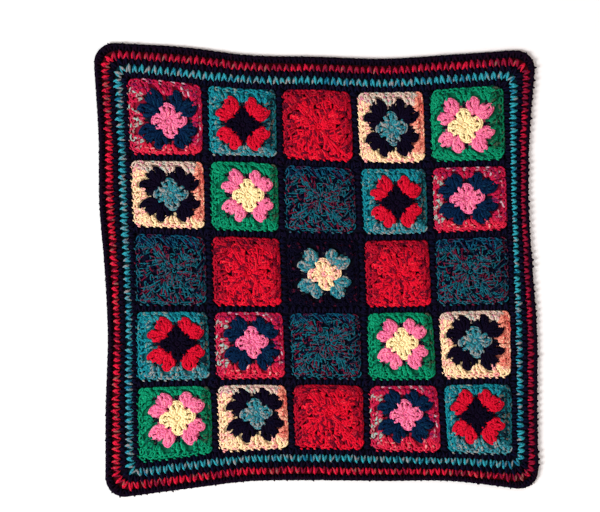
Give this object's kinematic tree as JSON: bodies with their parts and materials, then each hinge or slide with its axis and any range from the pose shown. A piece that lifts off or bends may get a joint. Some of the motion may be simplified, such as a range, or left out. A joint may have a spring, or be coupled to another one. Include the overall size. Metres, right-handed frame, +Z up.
{
  "type": "granny square blanket",
  "caption": "Small crocheted blanket of coloured granny squares joined in black, with a striped black, teal and red crocheted border, lying flat.",
  "frame": {"origin": "middle of the blanket's outline, on the surface it lies on", "axes": "+Z up out of the face, +Y towards the blanket's far edge, +X to the right along its rows of squares"},
  "size_m": [0.51, 0.521, 0.0067],
  "materials": {
    "red_marl_wool": "matt marled worsted wool, crocheted",
    "teal_wool": "matt flecked worsted wool, crocheted",
    "cream_wool": "matt variegated worsted wool, crocheted",
    "green_wool": "matt worsted wool, crocheted",
    "red_wool": "matt variegated worsted wool, crocheted",
    "dark_teal_wool": "matt marled worsted wool, crocheted",
    "black_wool": "matt worsted wool, crocheted"
  },
  "bodies": {
    "root": {"square_r1_c1": "red_marl_wool", "square_r1_c2": "teal_wool", "square_r1_c3": "red_wool", "square_r1_c4": "cream_wool", "square_r1_c5": "green_wool", "square_r2_c1": "cream_wool", "square_r2_c2": "green_wool", "square_r2_c3": "dark_teal_wool", "square_r2_c4": "teal_wool", "square_r2_c5": "red_marl_wool", "square_r3_c1": "dark_teal_wool", "square_r3_c2": "red_wool", "square_r3_c3": "black_wool", "square_r3_c4": "red_wool", "square_r3_c5": "dark_teal_wool", "square_r4_c1": "teal_wool", "square_r4_c2": "red_marl_wool", "square_r4_c3": "dark_teal_wool", "square_r4_c4": "green_wool", "square_r4_c5": "cream_wool", "square_r5_c1": "green_wool", "square_r5_c2": "cream_wool", "square_r5_c3": "red_wool", "square_r5_c4": "red_marl_wool", "square_r5_c5": "teal_wool", "join_lattice": "black_wool", "border_black_inner": "black_wool", "border_teal": "teal_wool", "border_black_middle": "black_wool", "border_red": "red_wool", "border_black_outer": "black_wool"}
  },
  "joints": []
}
